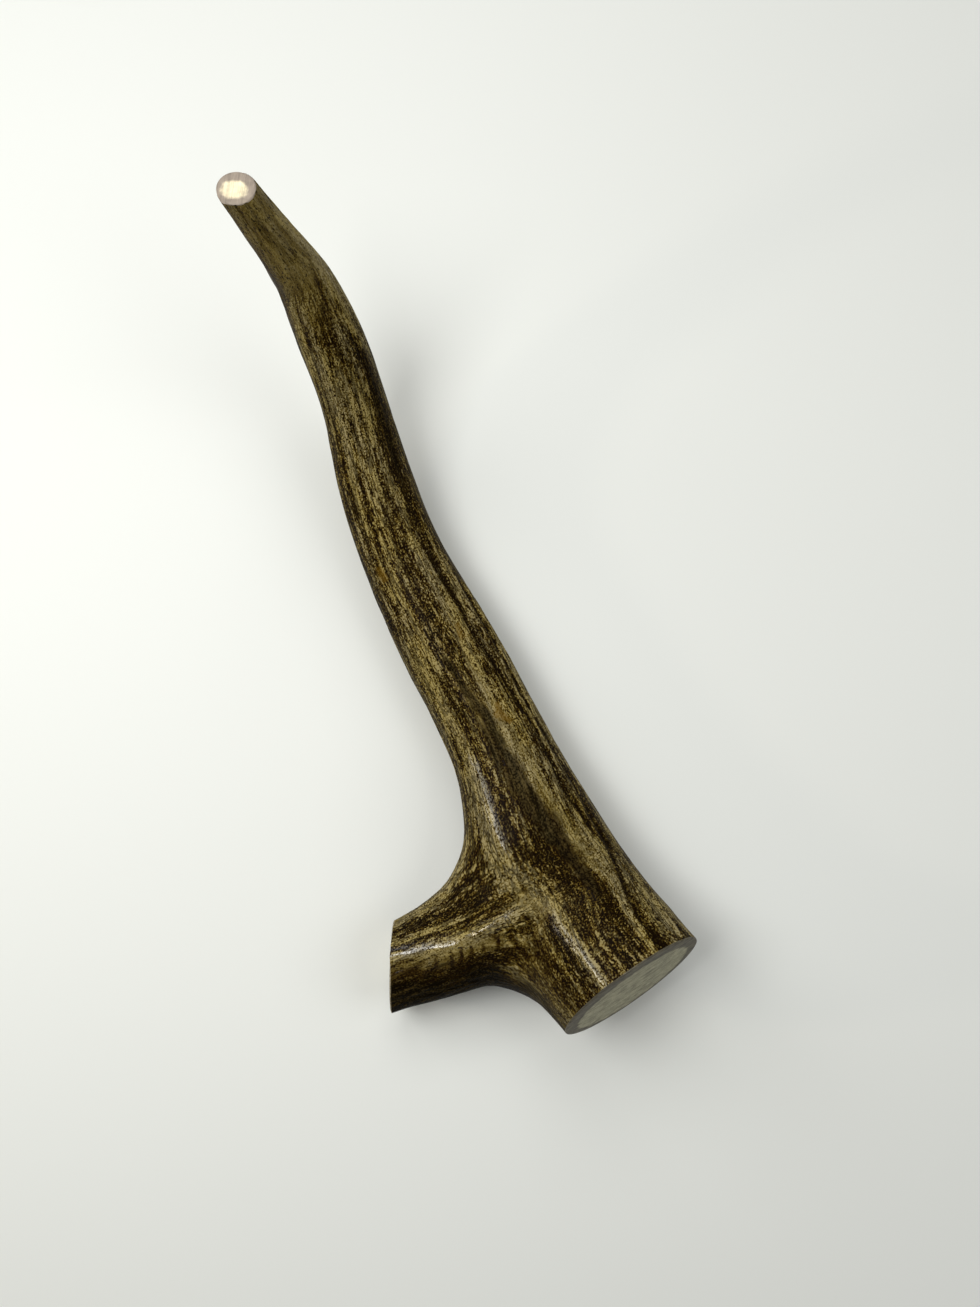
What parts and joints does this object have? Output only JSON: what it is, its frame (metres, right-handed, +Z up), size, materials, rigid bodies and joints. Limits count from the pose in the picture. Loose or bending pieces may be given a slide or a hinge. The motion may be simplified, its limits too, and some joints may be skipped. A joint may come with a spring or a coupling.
{
  "type": "deer antler",
  "caption": "Sawn piece of deer antler: a curved, tapering main beam with the stub of a side tine, grained bark and flat sawn ends.",
  "frame": {"origin": "on the surface that the piece rests on, under the middle of its bounding box", "axes": "+Z up from that surface, +Y towards the beam's thin upper end, +X to the side away from the tine"},
  "size_m": [0.1118, 0.1974, 0.0805],
  "materials": {
    "bark": "satin, grained, dark brown in the furrows and tan on the crests"
  },
  "bodies": {
    "root": {"main_beam": "bark", "side_tine": "bark"}
  },
  "joints": []
}
